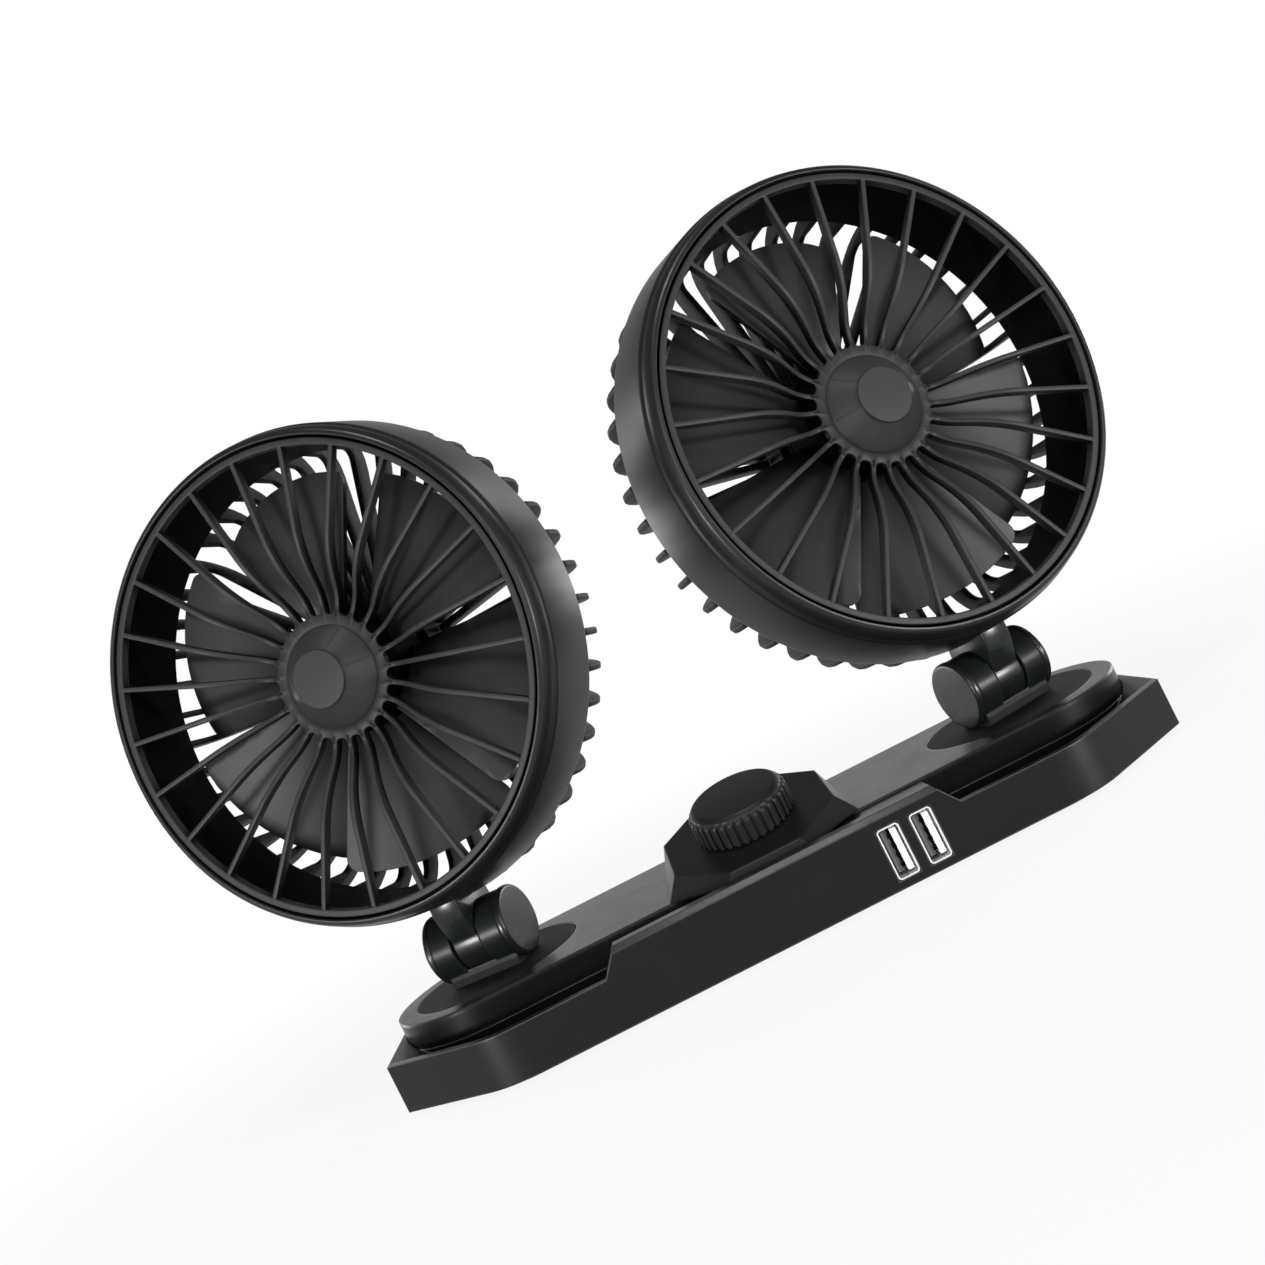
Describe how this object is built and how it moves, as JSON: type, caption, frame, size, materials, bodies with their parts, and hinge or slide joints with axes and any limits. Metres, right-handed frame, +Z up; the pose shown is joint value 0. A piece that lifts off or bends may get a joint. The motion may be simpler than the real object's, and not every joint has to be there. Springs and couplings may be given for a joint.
{
  "type": "dual head usb fan",
  "caption": "Table-top fan with twin round heads on swivel-and-tilt hinges over one slim base with a speed knob, usb sockets and a small tray at each end.",
  "frame": {"origin": "middle of the base's underside, on the table", "axes": "+X along the base towards the end with the sockets, -Y to the front, +Z up"},
  "size_m": [0.2942, 0.0967, 0.1792],
  "materials": {
    "black_plastic": "satin black moulded plastic",
    "platform_plastic": "gloss black plastic that mirrors the light as gray",
    "hinge_plastic": "semi-gloss black plastic",
    "fan_plastic": "satin dark gray plastic",
    "badge_plastic": "satin dark gray plastic",
    "knob_plastic": "matte black plastic",
    "washer_plastic": "natural low-friction plastic",
    "socket_steel": "bright plated steel",
    "socket_white": "white plastic",
    "contact_brass": "plain",
    "board_green": "coated board",
    "screw_steel": "plated steel",
    "control_steel": "plated steel",
    "rotor_iron": "laminated iron",
    "grip_rubber": "matte rubber"
  },
  "bodies": {
    "base": {"base_tray": "black_plastic", "beam_cover": "platform_plastic", "bottom_plate": "black_plastic", "grip_pad": "grip_rubber", "base_screws": "screw_steel", "control_housing": "black_plastic", "rotary_control": "control_steel", "usb_shell_inner": "socket_steel", "usb_tongue_inner": "socket_white", "usb_shell_outer": "socket_steel", "usb_tongue_outer": "socket_white", "usb_contacts": "contact_brass", "circuit_board": "board_green", "cable_inlet": "grip_rubber"},
    "knob": {"speed_knob": "knob_plastic", "control_shaft": "control_steel"},
    "left_swivel": {"left_turntable": "hinge_plastic", "left_retaining_washer": "screw_steel", "left_retaining_screw": "screw_steel", "left_hinge_bolt": "screw_steel", "left_hinge_nut": "screw_steel", "left_hinge_caps": "hinge_plastic", "left_friction_washers": "washer_plastic"},
    "left_head": {"left_neck": "hinge_plastic", "left_neck_screws": "screw_steel", "left_shroud": "black_plastic", "left_grille": "black_plastic", "left_hub_badge": "badge_plastic", "left_rear_guard": "black_plastic", "left_motor_can": "control_steel", "left_motor_bushes": "contact_brass"},
    "left_fan": {"left_impeller": "fan_plastic", "left_motor_shaft": "screw_steel", "left_motor_rotor": "rotor_iron"},
    "right_swivel": {"right_turntable": "hinge_plastic", "right_retaining_washer": "screw_steel", "right_retaining_screw": "screw_steel", "right_hinge_bolt": "screw_steel", "right_hinge_nut": "screw_steel", "right_hinge_caps": "hinge_plastic", "right_friction_washers": "washer_plastic"},
    "right_head": {"right_neck": "hinge_plastic", "right_neck_screws": "screw_steel", "right_shroud": "black_plastic", "right_grille": "black_plastic", "right_hub_badge": "badge_plastic", "right_rear_guard": "black_plastic", "right_motor_can": "control_steel", "right_motor_bushes": "contact_brass"},
    "right_fan": {"right_impeller": "fan_plastic", "right_motor_shaft": "screw_steel", "right_motor_rotor": "rotor_iron"}
  },
  "joints": [
    {"name": "knob_turn", "type": "hinge", "parent": "base", "child": "knob", "pos_m": [0, -0.0125, 0.0278], "axis": [0, 0.2588, -0.9659], "range_deg": [0, 270]},
    {"name": "left_turn", "type": "hinge", "parent": "base", "child": "left_swivel", "pos_m": [-0.079, 0.0095, 0.0292], "axis": [0, 0, 1], "range_deg": [-70, 110]},
    {"name": "left_tilt", "type": "hinge", "parent": "left_swivel", "child": "left_head", "pos_m": [-0.079, 0.0095, 0.0292], "axis": [-0.9397, 0.342, 0], "range_deg": [-35, 30]},
    {"name": "left_spin", "type": "hinge", "parent": "left_head", "child": "left_fan", "pos_m": [-0.08512, -0.00732, 0.11147], "axis": [-0.3407, -0.9361, 0.0872], "continuous": true},
    {"name": "right_turn", "type": "hinge", "parent": "base", "child": "right_swivel", "pos_m": [0.079, 0.0095, 0.0292], "axis": [0, 0, 1], "range_deg": [-110, 70]},
    {"name": "right_tilt", "type": "hinge", "parent": "right_swivel", "child": "right_head", "pos_m": [0.079, 0.0095, 0.0292], "axis": [-0.9397, -0.342, 0], "range_deg": [-35, 30]},
    {"name": "right_spin", "type": "hinge", "parent": "right_head", "child": "right_fan", "pos_m": [0.08512, -0.00732, 0.11147], "axis": [0.3407, -0.9361, 0.0872], "continuous": true}
  ]
}
